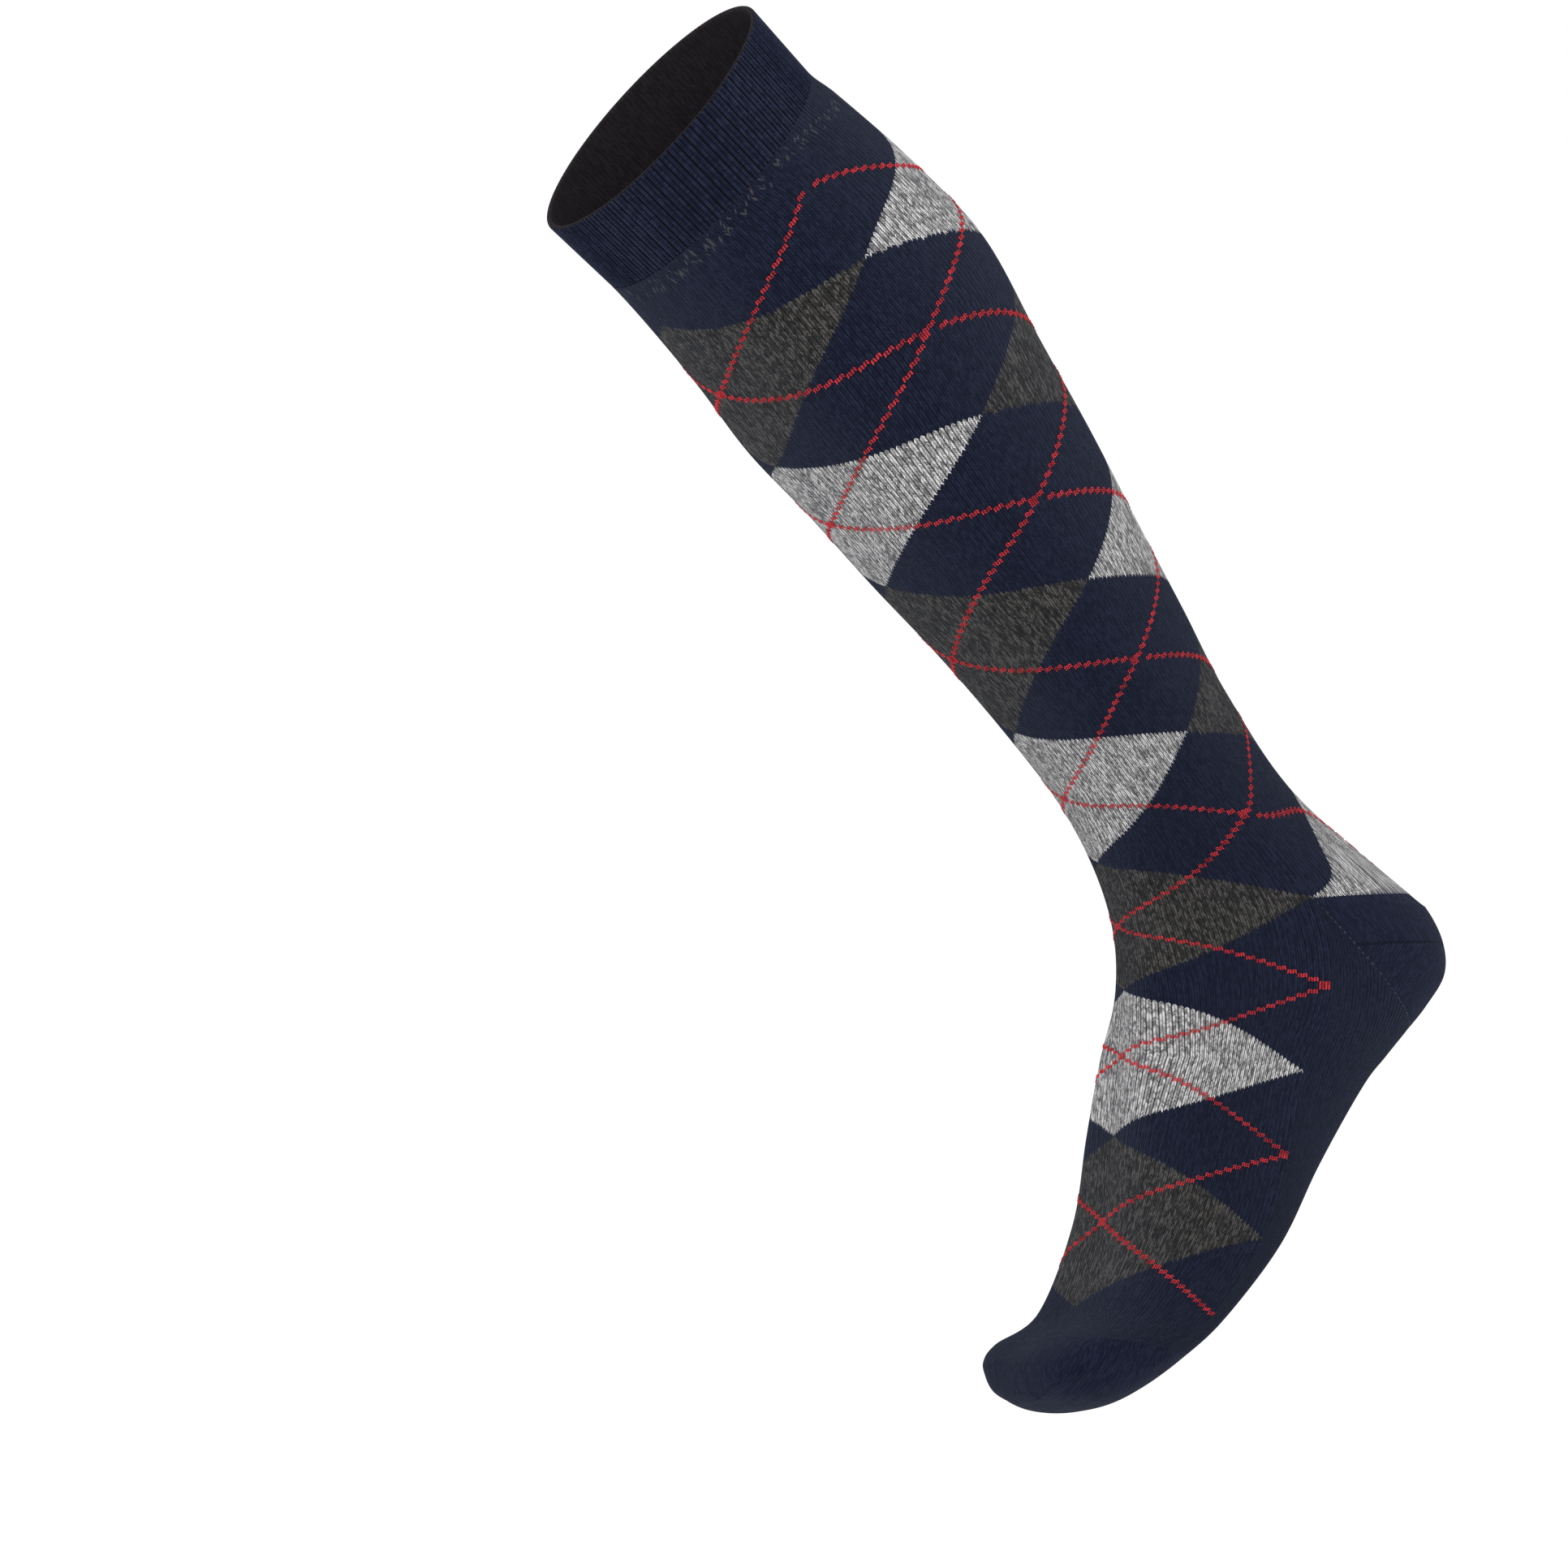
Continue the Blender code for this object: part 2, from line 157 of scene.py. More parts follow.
def between(rows, place):
    """The smooth curve through the rows, at a place that counts rows."""
    start = min(max(int(place), 0), len(rows) - 2)
    before, after = max(start - 1, 0), min(start + 2, len(rows) - 1)
    share, gap = place - start, KNOTS[start + 1] - KNOTS[start]
    first, last = rows[start], rows[start + 1]
    slope_in = (last - rows[before]) / (KNOTS[start + 1] - KNOTS[before]) * gap
    slope_out = (rows[after] - first) / (KNOTS[after] - KNOTS[start]) * gap
    return (
        first * (2 * share**3 - 3 * share**2 + 1)
        + slope_in * (share**3 - 2 * share**2 + share)
        + last * (3 * share**2 - 2 * share**3)
        + slope_out * (share**3 - share**2)
    )


def loop(upper, under, angles):
    """Points of one section at angles from the front, past the outer side, to the back and round."""
    front_x, front_z, side_x, side_z, half_width, upper_fullness, inner = upper
    back_x, back_z, under_fullness = under
    along, across = np.cos(angles), np.sin(angles)
    in_front = along >= 0
    fullness = np.where(in_front, upper_fullness, under_fullness)
    reach = (np.abs(along) ** fullness + np.abs(across) ** fullness) ** (-1 / fullness)
    rise = np.where(in_front & (across < 0), inner * (2 * along * across) ** 2, 0.0)
    height = reach * np.abs(along) + rise
    x = side_x + (np.where(in_front, front_x, back_x) - side_x) * height
    z = side_z + (np.where(in_front, front_z, back_z) - side_z) * height
    return np.stack([x, -half_width * reach * across, z], axis=1)


def tube_row(place, angles):
    """One loop of the leg, or of the foot and toe past the ankle."""
    ahead = PAST_HEEL if place > ANKLE else 0
    return loop(between(uppers, place), between(unders, place + ahead), angles)


def heel_row(place, angles):
    """One loop whose front half stays at the ankle while its back half goes round the heel."""
    return loop(uppers[ANKLE], between(unders, place), angles)


def unit(vectors):
    return vectors / np.maximum(np.linalg.norm(vectors, axis=-1, keepdims=True), 1e-12)


def grid_normals(grid, closed=True):
    """Outward normals of rows of points."""
    down = np.gradient(grid, axis=0)
    if closed:
        round_it = np.roll(grid, -1, axis=1) - np.roll(grid, 1, axis=1)
    else:
        round_it = np.gradient(grid, axis=1)
    return unit(np.cross(down, round_it))


# %% [markdown]
# ## Counting stitches
# A fine sock is knitted on one circle of needles, so the number of wales is the same at the calf and at the
# ankle, and only their width changes. This one has 168 wales. One diamond is half a circle wide and two
# rows of the pattern high, and a row of the pattern is 84 courses.

# %% Wales and courses
WALES = 168
HALF_WALES = WALES // 2
COURSES_PER_ROW = 84
# Pattern rows of the mouth, the end of the cuff, the first diamonds, the ankle and so on down to the tip
MOUTH_AT, CUFF_END_AT, FIRST_ROW_AT, ANKLE_AT = -0.1, 0.27, 0.5, 5.0
PATTERN_END_AT, TOE_SEAM_AT, TOE_TIP_AT = 7.5, 7.8, 8.4
FIRST_ROW_PLACE = 2

PLACES = (MOUTH, CUFF_END, FIRST_ROW_PLACE, ANKLE, TOE_SEAM - 1, TOE_SEAM, TIP)
PATTERN_ROWS = (MOUTH_AT, CUFF_END_AT, FIRST_ROW_AT, ANKLE_AT, PATTERN_END_AT, TOE_SEAM_AT, TOE_TIP_AT)


def course_at(place):
    """Courses counted from the start of the pattern, at a place on the chain of upper halves."""
    return np.interp(place, PLACES, PATTERN_ROWS) * COURSES_PER_ROW


# How far the knit lies off the lines of the sections, for each pattern row: by how many courses at the front,
# a quarter and three quarters of the way to the back and at the back, and by how many wales at the quarter
DRIFT = (
    (0.5, 0.0, 0.0, -4.0, -15.0, 2.0),
    (1.0, -4.0, 0.0, -4.0, -15.0, 2.5),
    (1.5, -9.0, 0.0, 0.0, -12.0, 2.5),
    (2.5, 0.0, 0.0, 0.0, 0.0, 2.0),
    (3.5, -4.0, 0.0, 0.0, 3.0, 0.0),
    (4.0, 0.0, 0.0, 0.0, 0.0, -2.0),
    (4.5, 0.0, 0.0, 8.0, 12.0, -4.0),
    (4.75, 0.0, 0.0, 13.0, 10.0, -3.0),
    (5.0, 0.0, 0.0, 0.0, 0.0, -3.0),
    (6.0, 0.0, 0.0, 0.0, 0.0, -7.0),
    (6.5, -2.0, 0.0, 0.0, 0.0, -4.0),
    (7.5, 0.0, 0.0, 0.0, 0.0, 0.0),
)
CLOSING_STEPS = 4  # enough to undo the drift


def knit_at(wale, course):
    """Wale and course of the knit, at a wale and course counted on the sections."""
    row, table = course / COURSES_PER_ROW, np.array(DRIFT)
    front, quarter, behind, rear, aside = (np.interp(row, table[:, 0], column) for column in table[:, 1:].T)
    turn = wale / WALES * 2 * math.pi
    along, facing = np.cos(turn) ** 2, np.cos(turn) > 0
    bulge = 4 * along * np.sin(turn) ** 2
    courses = np.where(facing, front, rear) * along + np.where(facing, quarter, behind) * bulge
    return wale + np.where(facing, aside * bulge, 0.0) * np.sign(np.sin(turn)), course + courses


def section_at(wale, course):
    """Wale and course counted on the sections, at a wale and course of the knit, by closing in."""
    on_wale, on_course = wale, course
    for _ in range(CLOSING_STEPS):
        knit_wale, knit_course = knit_at(on_wale, on_course)
        on_wale, on_course = on_wale + wale - knit_wale, on_course + course - knit_course
    return on_wale, on_course


CALF_PLACE = 5
calf_ring = tube_row(CALF_PLACE, np.linspace(0, 2 * math.pi, 721))
calf_girth = np.linalg.norm(np.diff(calf_ring, axis=0), axis=1).sum()
wale_at_calf = calf_girth / WALES
print(f"the calf is {1000 * calf_girth:.0f} mm round, and a wale is {1000 * wale_at_calf:.2f} mm wide there")

# %% [markdown]
# ## From rows of points to a knit wall
# A wall needs an outside, an inside and the edges between them. Blender's own tools could thicken a sheet,
# but the knit needs its stitch numbers on every corner, so the wall is written straight into a mesh: one
# closed profile of rows runs down the outside and back up the inside, and a UV map called knit holds the
# wale and the course.

# %% Wall builder
scene = bpy.context.scene


def new_piece(name, mesh, materials):
    for material in materials:
        mesh.materials.append(material)
    piece = bpy.data.objects.new(name, mesh)
    scene.collection.objects.link(piece)
    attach(piece, "root")
    return piece


def bare_mesh(name, points, blocks):
    """A mesh from points and blocks of faces. All faces of one block have the same number of corners."""
    mesh = bpy.data.meshes.new(name)
    sizes = np.concatenate([np.full(len(block), block.shape[1]) for block in blocks])
    corners = np.concatenate([block.reshape(-1) for block in blocks])
    mesh.vertices.add(len(points))
    mesh.vertices.foreach_set("co", points.astype(np.float32).reshape(-1))
    mesh.loops.add(len(corners))
    mesh.loops.foreach_set("vertex_index", corners.astype(np.int32))
    mesh.polygons.add(len(sizes))
    mesh.polygons.foreach_set("loop_start", (np.cumsum(sizes) - sizes).astype(np.int32))
    return mesh


def close_mesh(mesh):
    mesh.update(calc_edges=True)
    mesh.validate()
    mesh.shade_smooth()
    print(mesh.name, len(mesh.polygons), "faces")


def add_layer(mesh, name, first, second):
    """A UV map from two numbers for each corner."""
    pairs = np.stack([first.reshape(-1), second.reshape(-1)], axis=1)
    mesh.uv_layers.new(name=name).data.foreach_set("uv", pairs.astype(np.float32).reshape(-1))


def knit_mesh(name, points, blocks, normals, wale, course, inside):
    """A smooth mesh that knows its stitches. The faces marked inside take the second material."""
    mesh = bare_mesh(name, points, blocks)
    mesh.polygons.foreach_set("material_index", inside.astype(np.int32))
    add_layer(mesh, "knit", wale, course)
    close_mesh(mesh)
    mesh.normals_split_custom_set_from_vertices([tuple(normal) for normal in normals.reshape(-1, 3)])
    return mesh


def quads(left, right):
    """What lies at the four corners of each face between a row and the next. The last row meets the first."""
    return np.stack([left, np.roll(left, -1, axis=0), np.roll(right, -1, axis=0), right], axis=-1)


def numbered(grid):
    """The number of every point of a grid of points."""
    return np.arange(grid.shape[0] * grid.shape[1]).reshape(grid.shape[:2])


def profile_mesh(name, grid, normals, wales, courses, inside_rows):
    """A closed shell from rows that run down the outside and up the inside, and meet again at the start."""
    index = numbered(grid)
    faces = quads(index, np.roll(index, -1, axis=1)).reshape(-1, 4)
    wales_right = np.roll(wales, -1, axis=1)
    wales_right[:, -1] += WALES
    corner_wales, corner_courses = quads(wales, wales_right), quads(courses, np.roll(courses, -1, axis=1))
    inside = np.repeat(inside_rows, grid.shape[1])
    return knit_mesh(name, grid.reshape(-1, 3), [faces], normals, corner_wales, corner_courses, inside)


# %% [markdown]
# ## Relief of the wales
# Seen close, each wale of plain knit stands up as a rounded cord with a groove on each side. Four columns
# of mesh for each wale are enough to shape that cord for real, so the outline and the shading both show it.
# How high it stands is a share of how wide the wale is, so the knit flattens where the foot is slim.

# %% Ridged tube pieces
COLUMNS_PER_WALE = 4
INNER_ROWS = 24
KNIT_RELIEF = 0.085
SEAM_FADE = 0.10  # places from a seam over which the relief grows


def wale_numbers(columns_per_wale):
    return np.arange(WALES * columns_per_wale) / columns_per_wale


def angles_of(wales):
    return wales / WALES * 2 * math.pi


def ridge(wales):
    """0 in the groove between two wales, 1 on top of a wale."""
    return np.sin(math.pi * wales) ** 2


def wale_width(grid, columns_per_wale):
    side = np.roll(grid, -1, axis=1) - np.roll(grid, 1, axis=1)
    return np.linalg.norm(side, axis=2, keepdims=True) / 2 * columns_per_wale


def fade_at(places, seams):
    """0 on a seam, 1 a little way from it, for each row."""
    return np.min([np.clip(np.abs(places - seam) / SEAM_FADE, 0, 1) for seam in seams], axis=0)[:, None, None]


def knit_tube(name, row_at, place_before, places, place_after, seams):
    """The grid, normals, courses and wales of a tube of knit, with its rows at these places."""
    wales = wale_numbers(COLUMNS_PER_WALE)
    angles = angles_of(wales)
    extended = np.array([row_at(place, angles) for place in (place_before, *places, place_after)])
    base_normals = grid_normals(extended)
    relief = KNIT_RELIEF * fade_at(np.array([places[0], *places, places[-1]]), seams)
    depth = wale_width(extended, COLUMNS_PER_WALE) * relief * (ridge(wales)[:, None] - 1)
    raised = extended + base_normals * depth
    outer, outer_normals = raised[1:-1], grid_normals(raised)[1:-1]
    few = np.unique(np.linspace(0, len(places) - 1, INNER_ROWS).astype(int))[::-1]
    inner = (extended[1:-1] - base_normals[1:-1] * KNIT_WALL)[few]
    grid = np.concatenate([outer, inner])
    normals = np.concatenate([outer_normals, -base_normals[1:-1][few]])
    courses = course_at(np.array(places))
    wales, rows = np.meshgrid(wales, np.concatenate([courses, courses[few]]))
    mesh = profile_mesh(name, grid, normals, *knit_at(wales, rows), np.arange(len(grid)) >= len(outer) - 1)
    return mesh, extended[1:-1], base_normals[1:-1], courses


def leg_row(place, angles):
    """A leg loop. Just past the ankle its front goes on into the foot and its back into the heel."""
    if place <= ANKLE:
        return tube_row(place, angles)
    return np.where(np.cos(angles)[:, None] > 0, tube_row(place, angles), heel_row(place, angles))


def foot_row(place, angles):
    """A foot loop. Just before the ankle its front comes from the leg and its back from the heel."""
    if place > ANKLE:
        return tube_row(place, angles)
    from_heel = heel_row(place + PAST_HEEL, angles)
    return np.where(np.cos(angles)[:, None] > 0, tube_row(place, angles), from_heel)


LEG_ROWS, FOOT_ROWS = 112, 112
leg_places = np.linspace(CUFF_END, ANKLE, LEG_ROWS)
foot_places = np.linspace(ANKLE, TOE_SEAM, FOOT_ROWS)
BEYOND = 0.08
leg_mesh, leg_grid, leg_normals, leg_courses = knit_tube(
    "leg_knit", leg_row, CUFF_END - BEYOND, leg_places, ANKLE + BEYOND, (ANKLE,)
)
foot_mesh, foot_grid, foot_normals, foot_courses = knit_tube(
    "foot_knit", foot_row, ANKLE - BEYOND, foot_places, TOE_SEAM + BEYOND, (ANKLE, TOE_SEAM)
)

# %% [markdown]
# ## Heel and toe
# The heel is a pocket, knitted to and fro over half of the needles: its wales run straight down the back of
# the leg, meet the gore, a slanting line at the side, and run on along the sole. The shape comes from the
# sections, but the stitches have to be counted along those two straight directions, so each face takes its
# wale from its side position, or from across where it faces back or down.

# %% Stitches of the pockets
POCKET_WALE = 0.00140
POCKET_COURSE = 0.00090
GORE_POINT = np.array([0.0008, 0.0, -0.4047])
HEEL_DOWN = np.array([0.0, 0.0, -1.0])
HEEL_FORWARD = unit(np.array([-0.955, 0.0, -0.295]))
TOE_FORWARD = unit(np.array([-0.853, 0.0, -0.523]))
ACROSS = np.array([0.0, 1.0, 0.0])


def stitch_count(points, faces, forward):
    """Wale and course of every corner of faces that are knitted along one straight direction."""
    lift = np.cross(forward, ACROSS)
    corners = points[faces] - GORE_POINT
    facing = np.cross(corners[:, 1] - corners[:, 0], corners[:, 2] - corners[:, 0])
    on_side = np.abs(facing[:, 1]) > np.abs(facing @ lift)
    wale = np.where(on_side[:, None], corners @ lift, corners[..., 1]) / POCKET_WALE
    return wale, corners @ forward / POCKET_COURSE


POCKET_COLUMNS_PER_WALE = 2
HEEL_ROWS = 72
CORNER = math.radians(0.1)
pocket_wales = wale_numbers(POCKET_COLUMNS_PER_WALE)
behind = angles_of(pocket_wales)
behind = behind[(behind > math.pi / 2) & (behind < 1.5 * math.pi)]
heel_angles = np.concatenate([[math.pi / 2 + CORNER], behind, [1.5 * math.pi - CORNER]])
HEEL_END = ANKLE + PAST_HEEL
heel_places = np.linspace(ANKLE, HEEL_END, HEEL_ROWS)
heel_grid = np.array([heel_row(place, heel_angles) for place in heel_places])
heel_before = tube_row(ANKLE - BEYOND, heel_angles)
heel_after = tube_row(ANKLE + BEYOND, heel_angles)
heel_normals = grid_normals(np.concatenate([[heel_before], heel_grid, [heel_after]]), closed=False)[1:-1]

heel_inner = heel_grid - heel_normals * KNIT_WALL
heel_closed = np.concatenate([heel_grid, heel_inner[::-1]])
heel_closed_normals = np.concatenate([heel_normals, -heel_normals[::-1]])
heel_index = numbered(heel_closed)
edge_rows = np.arange(HEEL_ROWS - 1)
inner_twin = 2 * HEEL_ROWS - 1 - edge_rows
heel_faces = np.concatenate(
    [
        quads(heel_index[:, :-1], heel_index[:, 1:]).reshape(-1, 4),
        heel_index[[edge_rows, inner_twin, inner_twin - 1, edge_rows + 1], 0].T,
        heel_index[[edge_rows, edge_rows + 1, inner_twin - 1, inner_twin], -1].T,
    ]
)
heel_points = heel_closed.reshape(-1, 3)
down_wale, down_course = stitch_count(heel_points, heel_faces, HEEL_DOWN)
sole_wale, sole_course = stitch_count(heel_points, heel_faces, HEEL_FORWARD)
gore_normal = unit(HEEL_DOWN + HEEL_FORWARD)
gore_distance = (heel_points[heel_faces] - GORE_POINT) @ gore_normal
past_gore = gore_distance.mean(axis=1) > 0
heel_wale = np.where(past_gore[:, None], sole_wale, down_wale)
heel_course = np.where(past_gore[:, None], sole_course, down_course)
heel_inside = np.zeros(len(heel_faces), bool)
heel_inside[HEEL_ROWS * (len(heel_angles) - 1) : -2 * len(edge_rows)] = True
heel_mesh = knit_mesh(
    "heel_knit", heel_points, [heel_faces], heel_closed_normals, heel_wale, heel_course, heel_inside
)
# Metres from the gore and from the middle of the heel
add_layer(heel_mesh, "gore", gore_distance, np.abs(heel_points[heel_faces][..., 1]))

# %% [markdown]
# The toe is a cap. Its loops shrink towards the tip, and a few more rows round the tip off, so no flat spot
# is left where a fan of triangles would close it.

# %% Toe cap
TOE_ROWS = 60
TIP_ROWS = 8
TIP_BULGE = 0.0014
TIP_TURN = 0.98 * math.pi / 2  # just short of the pole, where a fan of triangles takes over
TOE_INNER_ROWS = 30
toe_angles = angles_of(pocket_wales)
toe_places = np.linspace(TOE_SEAM, TIP, TOE_ROWS)
toe_grid = np.array([tube_row(place, toe_angles) for place in toe_places])
tip_ring = toe_grid[-1]
tip_centre = tip_ring.mean(axis=0)
tip_spokes = tip_ring - tip_centre
tip_forward = unit(np.cross(tip_spokes, np.roll(tip_spokes, -1, axis=0)).sum(axis=0))
tip_forward = tip_forward * -np.sign(tip_forward[0])
turns = np.linspace(0, TIP_TURN, TIP_ROWS + 1)[1:, None, None]
tip_rows = tip_centre + tip_spokes * np.cos(turns) + tip_forward * TIP_BULGE * np.sin(turns)
toe_outer = np.concatenate([toe_grid, tip_rows])
toe_before = tube_row(TOE_SEAM - BEYOND, toe_angles)
toe_normals = grid_normals(np.concatenate([[toe_before], toe_outer]))[1:]
toe_inner_rows = np.unique(np.linspace(0, len(toe_outer) - 1, TOE_INNER_ROWS).astype(int))[::-1]
toe_inner = (toe_outer - toe_normals * KNIT_WALL)[toe_inner_rows]
toe_closed = np.concatenate([toe_outer, toe_inner])
toe_index = numbered(toe_closed)
last_outer, first_inner = toe_index[len(toe_outer) - 1], toe_index[len(toe_outer)]
outer_pole, inner_pole = toe_index.size, toe_index.size + 1
stays = np.arange(len(toe_closed)) != len(toe_outer) - 1
toe_quads = quads(toe_index, np.roll(toe_index, -1, axis=1))[stays].reshape(-1, 4)
outer_fan = np.stack([last_outer, np.full(len(toe_angles), outer_pole), np.roll(last_outer, -1)], axis=-1)
inner_fan = np.stack([first_inner, np.roll(first_inner, -1), np.full(len(toe_angles), inner_pole)], axis=-1)
toe_fans = np.concatenate([outer_fan, inner_fan])
poles = [tip_centre + tip_forward * TIP_BULGE, tip_centre + tip_forward * (TIP_BULGE - KNIT_WALL)]
toe_points = np.concatenate([toe_closed.reshape(-1, 3), poles])
toe_closed_normals = np.concatenate([toe_normals, -toe_normals[toe_inner_rows]]).reshape(-1, 3)
toe_counts = [stitch_count(toe_points, block, TOE_FORWARD) for block in (toe_quads, toe_fans)]
inside_quads = np.repeat((np.arange(len(toe_closed)) >= len(toe_outer))[stays], len(toe_angles))
toe_mesh = knit_mesh(
    "toe_knit",
    toe_points,
    [toe_quads, toe_fans],
    np.concatenate([toe_closed_normals, [tip_forward, -tip_forward]]),
    np.concatenate([wale.reshape(-1) for wale, course in toe_counts]),
    np.concatenate([course.reshape(-1) for wale, course in toe_counts]),
    np.concatenate([inside_quads, np.repeat([False, True], len(toe_angles))]),
)

# %% [markdown]
# ## Cuff
# The cuff is knitted double in a one by one rib and folded in, so it is thicker than the leg, and its mouth
# is a soft rounded edge. Its profile is a closed loop: down the outside, across the hem, up the inside and
# over the rim.

# %% Ribbed cuff
RIB_RELIEF = 0.26
RIM_RELIEF = 0.8  # of that, where the ribs go over the rim
CUFF_OUTER_ROWS = 26
RIM_ROWS = 9
CUFF_INNER_ROWS = 8
cuff_wales = wale_numbers(COLUMNS_PER_WALE)
cuff_angles = angles_of(cuff_wales)
mouth_ring = loop(uppers[MOUTH], unders[MOUTH], cuff_angles)
hem_ring = loop(uppers[CUFF_END], unders[CUFF_END], cuff_angles)
inward = unit(mouth_ring.mean(axis=0) - mouth_ring)
rounding = CUFF_WALL / 2
rib_wave = ridge(cuff_wales)[:, None] - 1
rib_width = 2 * math.pi * MOUTH_WIDTH / 2 / WALES


def cuff_row(depth, inset, relief):
    """A loop of the cuff at this share of its height, set in from its outside by this much."""
    ring = mouth_ring + (hem_ring - mouth_ring) * depth
    return ring + inward * inset - inward * rib_width * RIB_RELIEF * relief * rib_wave


rim_turns = np.linspace(0, math.pi, RIM_ROWS)
rim_share = rounding / CUFF_HEIGHT
outer_depths = np.linspace(rim_share, 1, CUFF_OUTER_ROWS)
cuff_rows = [cuff_row(depth, 0, 1) for depth in outer_depths]
cuff_courses = [course_at(depth) for depth in outer_depths]
for depth in np.linspace(1, rim_share, CUFF_INNER_ROWS):
    cuff_rows.append(cuff_row(depth, CUFF_WALL, 0))
    cuff_courses.append(course_at(depth))
for turn in rim_turns[::-1][1:-1]:
    lift = rim_share * (1 - math.sin(turn))
    cuff_rows.append(cuff_row(lift, rounding * (1 - math.cos(turn)), max(0.0, math.cos(turn)) * RIM_RELIEF))
    cuff_courses.append(course_at(lift))
cuff_grid = np.array(cuff_rows)
wrapped = np.concatenate([cuff_grid[-1:], cuff_grid, cuff_grid[:1]])
cuff_normals = grid_normals(wrapped)[1:-1]
cuff_inside = np.zeros(len(cuff_grid), bool)
cuff_inside[CUFF_OUTER_ROWS - 1 : -2] = True
cuff_mesh = profile_mesh(
    "cuff_knit", cuff_grid, cuff_normals, *np.meshgrid(cuff_wales, cuff_courses), cuff_inside
)

# %% [markdown]
# ## Overlay lines
# The thin red diamonds are laid over the knit with a second yarn: every two courses the line moves on by
# two wales, and each step is a block of two stitches by two. Painted on, they would look flat from the
# side, so each stitch is two short plump strands of real yarn, laid as a stitch lies, with its point
# towards the cuff.

# %% Red stitches
STRAND_SIDES = 5
STRAND_RINGS = ((0.16, 0.75), (0.5, 1.0), (0.84, 0.75))  # place along the strand, share of its thickness
STRAND_THICKNESS = 0.135  # half of it, as a share of a wale
STRAND_LIFT = 0.00012
STRAND_START, STRAND_SPAN = 0.07, 0.36  # in wales from the middle of the stitch
STRAND_FLATNESS = 0.8
END_LIFT = 0.05  # place along the strand whose lift its two ends take
STRAND_MIDDLE = 2  # the middle ring's number
CROSSING = HALF_WALES // 2  # where two lines cross, and only the rising one is laid
STITCH_RISE = 1.5  # courses that a strand climbs from the wale's side to its middle
OVERLAY_ROWS = range(-1, 10)  # pattern rows in which red lines start


def surface(grid, normals, row_courses, wale, course):
    """Points and normals of a wall of knit at these wales and courses."""
    wale, course = section_at(wale, course)
    row = np.interp(course, row_courses, np.arange(len(row_courses)))
    low_row = np.minimum(row.astype(int), len(row_courses) - 2)
    column = np.mod(wale, WALES) * COLUMNS_PER_WALE
    low_column = column.astype(int)
    row_share, column_share = (row - low_row)[..., None], (column - low_column)[..., None]
    columns = grid.shape[1]

    def blend(values):
        near, far = low_column % columns, (low_column + 1) % columns
        upper = values[low_row, near] * (1 - column_share) + values[low_row, far] * column_share
        lower = values[low_row + 1, near] * (1 - column_share) + values[low_row + 1, far] * column_share
        return upper * (1 - row_share) + lower * row_share

    return blend(grid), unit(blend(normals))


def overlay_stitches(first_course, last_course, most_wales):
    """Wale and course of every stitch of the red lines between two courses."""
    found = set()
    for row in OVERLAY_ROWS:
        for step in range(0, most_wales, 2):
            rising, falling = COURSES_PER_ROW * row - step - 2, COURSES_PER_ROW * row + step
            for start in (rising,) if step == CROSSING else (rising, falling):
                for wale in (step, step + 1):
                    for course in (start, start + 1):
                        if first_course <= course < last_course:
                            found.update(((wale, course), (WALES - 1 - wale, course)))
    return np.array(sorted(found), float)


def strands(name, stitches, grid, normals, row_courses):
    """Two strands of yarn for each stitch."""
    places = np.array([0.0, *[at for at, share in STRAND_RINGS], 1.0])
    sides = np.array([-1.0, 1.0])
    out = STRAND_START + STRAND_SPAN * places
    wale = stitches[:, None, None, 0] + 0.5 + sides[None, :, None] * out
    course = stitches[:, None, None, 1] + 0.5 + STITCH_RISE * (2 * out - 0.5) + 0 * wale
    points, outward = surface(grid, normals, row_courses, wale, course)
    lift = STRAND_LIFT * np.sin(math.pi * np.clip(places, END_LIFT, 1 - END_LIFT))
    points = points + outward * lift[:, None]
    middle_wale, middle_course = wale[..., STRAND_MIDDLE], course[..., STRAND_MIDDLE]
    right, left = (
        surface(grid, normals, row_courses, middle_wale + to, middle_course)[0] for to in (0.5, -0.5)
    )
    wide = np.linalg.norm(right - left, axis=-1)
    along = unit(points[..., -1, :] - points[..., 0, :])
    outward = outward[..., STRAND_MIDDLE, :]
    beside = unit(np.cross(along, outward))
    count = len(stitches) * 2
    along, outward, beside = (v.reshape(count, 3) for v in (along, outward, beside))
    spine = points.reshape(count, len(places), 3)
    thickness = wide.reshape(count, 1, 1) * STRAND_THICKNESS
    turn = np.arange(STRAND_SIDES) * 2 * math.pi / STRAND_SIDES
    turn = turn[:, None]
    ring = np.cos(turn) * beside[:, None] + np.sin(turn) * outward[:, None] * STRAND_FLATNESS
    vertices = [spine[:, :1]]
    for position, (_, share) in enumerate(STRAND_RINGS):
        vertices.append(spine[:, position + 1 : position + 2] + ring * thickness * share)
    vertices.append(spine[:, -1:])
    vertices = np.concatenate(vertices, axis=1)
    each = vertices.shape[1]
    faces = []
    around = np.arange(STRAND_SIDES)
    following = (around + 1) % STRAND_SIDES
    for side, after in zip(around, following):
        faces.append((0, 1 + after, 1 + side))
        for position in range(len(STRAND_RINGS) - 1):
            near, far = 1 + position * STRAND_SIDES, 1 + (position + 1) * STRAND_SIDES
            faces.append((near + side, near + after, far + after))
            faces.append((near + side, far + after, far + side))
        faces.append((each - 1, each - 1 - STRAND_SIDES + side, each - 1 - STRAND_SIDES + after))
    faces = (np.array(faces)[None] + np.arange(count)[:, None, None] * each).reshape(-1, 3)
    mesh = bare_mesh(name, vertices.reshape(-1, 3), [faces])
    close_mesh(mesh)
    return mesh


